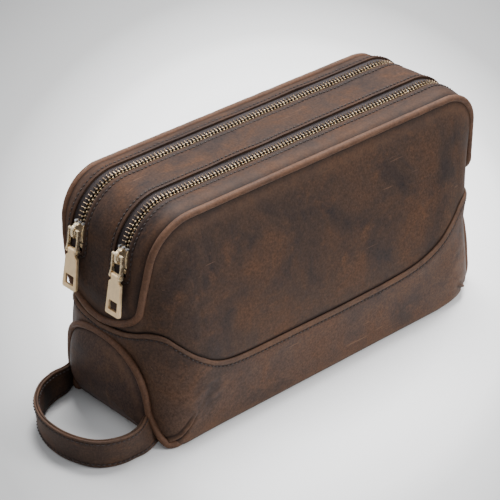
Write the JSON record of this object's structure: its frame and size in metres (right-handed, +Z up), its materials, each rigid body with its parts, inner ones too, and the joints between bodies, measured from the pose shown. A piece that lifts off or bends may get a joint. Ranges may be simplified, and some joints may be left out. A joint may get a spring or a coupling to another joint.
{
  "type": "toiletry bag",
  "caption": "Leather toiletry bag with two zipped compartments side by side, piped seams, a lapped lower panel and a carrying loop on one end.",
  "frame": {"origin": "on the floor under the middle of the bag's flat base", "axes": "+X along the bag, away from the carrying loop and the closed ends of the zips; the front faces -Y; +Z up"},
  "size_m": [0.3353, 0.1212, 0.1446],
  "materials": {
    "leather_upper": "waxed, mottled dark brown, soft sheen",
    "leather_lower": "waxed, mottled brown, soft sheen",
    "leather_end": "waxed, dark bluish brown, soft sheen",
    "leather_gusset": "waxed, mottled dark brown, soft sheen",
    "leather_piping": "waxed, worn reddish brown",
    "leather_strap": "waxed, brown, stitched edges",
    "zip_tape": "woven, dark maroon",
    "antique_brass": "satin antique brass",
    "lining_fabric": "plain weave, dark brown",
    "stiffener": "matt black board"
  },
  "bodies": {
    "bag": {"upper_front_panel": "leather_upper", "upper_back_panel": "leather_upper", "lower_wrap_panel": "leather_lower", "left_end_panel": "leather_end", "right_end_panel": "leather_end", "left_end_piping": "leather_piping", "right_end_piping": "leather_piping", "gusset_piping": "leather_piping", "gusset_panel": "leather_gusset", "front_lining": "lining_fabric", "back_lining": "lining_fabric", "divider_board": "lining_fabric", "base_board": "stiffener", "front_zip_tape_front": "zip_tape", "front_zip_teeth_front": "antique_brass", "front_zip_top_stop_front": "antique_brass", "front_zip_tape_rear": "zip_tape", "front_zip_teeth_rear": "antique_brass", "front_zip_top_stop_rear": "antique_brass", "front_zip_bottom_stop": "antique_brass", "back_zip_tape_front": "zip_tape", "back_zip_teeth_front": "antique_brass", "back_zip_top_stop_front": "antique_brass", "back_zip_tape_rear": "zip_tape", "back_zip_teeth_rear": "antique_brass", "back_zip_top_stop_rear": "antique_brass", "back_zip_bottom_stop": "antique_brass"},
    "front_slider": {"front_zip_slider": "antique_brass"},
    "front_link": {"front_pull_link": "antique_brass", "front_pull_pin": "antique_brass"},
    "front_tab": {"front_pull_tab": "antique_brass"},
    "back_slider": {"back_zip_slider": "antique_brass"},
    "back_link": {"back_pull_link": "antique_brass", "back_pull_pin": "antique_brass"},
    "back_tab": {"back_pull_tab": "antique_brass"},
    "strap": {"strap_outer_layer": "leather_strap", "strap_inner_layer": "leather_strap"}
  },
  "joints": [
    {"name": "front_slider_travel", "type": "hinge", "parent": "bag", "child": "front_slider", "pos_m": [-0.106, -0.0199, 0.112], "axis": [0, 1, 0], "range_deg": [0, 82]},
    {"name": "front_link_swing", "type": "hinge", "parent": "front_slider", "child": "front_link", "pos_m": [-0.14128, -0.0199, 0.11888], "axis": [0, 1, 0], "range_deg": [0, 120]},
    {"name": "front_tab_swing", "type": "hinge", "parent": "front_link", "child": "front_tab", "pos_m": [-0.14312, -0.0199, 0.10581], "axis": [0, 1, 0], "range_deg": [0, 60]},
    {"name": "back_slider_travel", "type": "hinge", "parent": "bag", "child": "back_slider", "pos_m": [-0.106, 0.0199, 0.112], "axis": [0, 1, 0], "range_deg": [0, 82]},
    {"name": "back_link_swing", "type": "hinge", "parent": "back_slider", "child": "back_link", "pos_m": [-0.14128, 0.0199, 0.11888], "axis": [0, 1, 0], "range_deg": [0, 120]},
    {"name": "back_tab_swing", "type": "hinge", "parent": "back_link", "child": "back_tab", "pos_m": [-0.14312, 0.0199, 0.10581], "axis": [0, 1, 0], "range_deg": [0, 60]},
    {"name": "strap_lift", "type": "hinge", "parent": "bag", "child": "strap", "pos_m": [-0.1408, 0, 0.0198], "axis": [0, 1, 0], "range_deg": [0, 50]}
  ]
}
